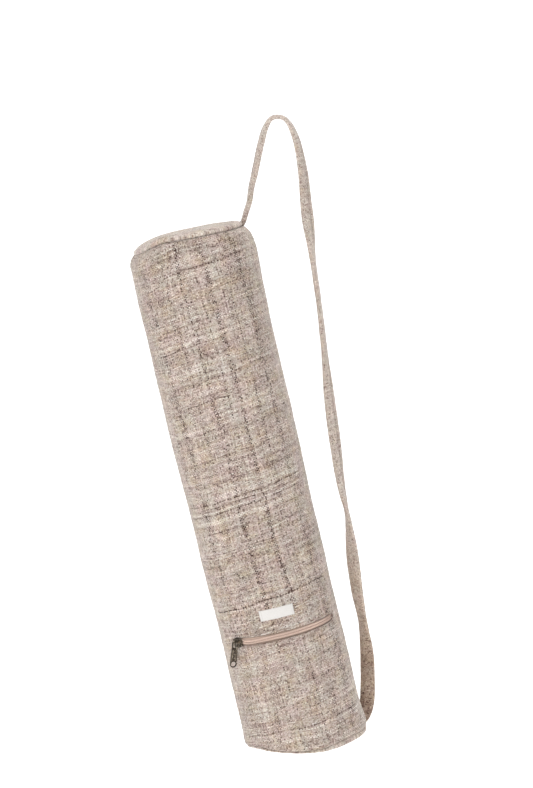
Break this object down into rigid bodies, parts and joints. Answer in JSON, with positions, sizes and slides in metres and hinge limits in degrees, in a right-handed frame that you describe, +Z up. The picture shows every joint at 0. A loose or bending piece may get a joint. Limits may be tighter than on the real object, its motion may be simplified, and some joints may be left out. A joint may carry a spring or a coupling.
{
  "type": "yoga mat bag",
  "caption": "Long round handwoven cloth bag for a rolled exercise mat, with domed ends, a zipped front pocket and one shoulder strap, hanging by its strap.",
  "frame": {"origin": "underside of the strap's peak, where it lies over the hook, peg or hand that holds the bag up", "axes": "+Z up against gravity, +X to the right seen from the front, -Y the front with the pocket. The bag leans 18 degrees, top to the left, as it hangs"},
  "size_m": [0.3669, 0.1612, 0.824],
  "materials": {
    "woven_cloth": "thick felted handwoven wool and hemp, heathered beige plaid with grey and dark brown yarns",
    "strap_cloth": "the same cloth folded to a strap",
    "label_tape": "white woven cotton tape, blank",
    "zip_tape": "pink-beige polyester zip tape",
    "zip_coil": "pink-beige nylon coil",
    "bronze": "antique dark bronze plating, worn a little at the edges"
  },
  "bodies": {
    "bag": {"body": "woven_cloth", "lid": "woven_cloth", "base": "woven_cloth", "strap": "strap_cloth", "label": "label_tape", "pocket_zip_tape_upper": "zip_tape", "pocket_zip_tape_lower": "zip_tape", "pocket_zip_coil": "zip_coil", "zip_slider": "bronze"},
    "pull_tab": {"zip_puller": "bronze"}
  },
  "joints": [
    {"name": "pull_tab_swing", "type": "hinge", "parent": "bag", "child": "pull_tab", "pos_m": [0.00322, -0.06238, -0.66488], "axis": [-0.342, 0.9397, 0], "range_deg": [-12, 150]}
  ]
}
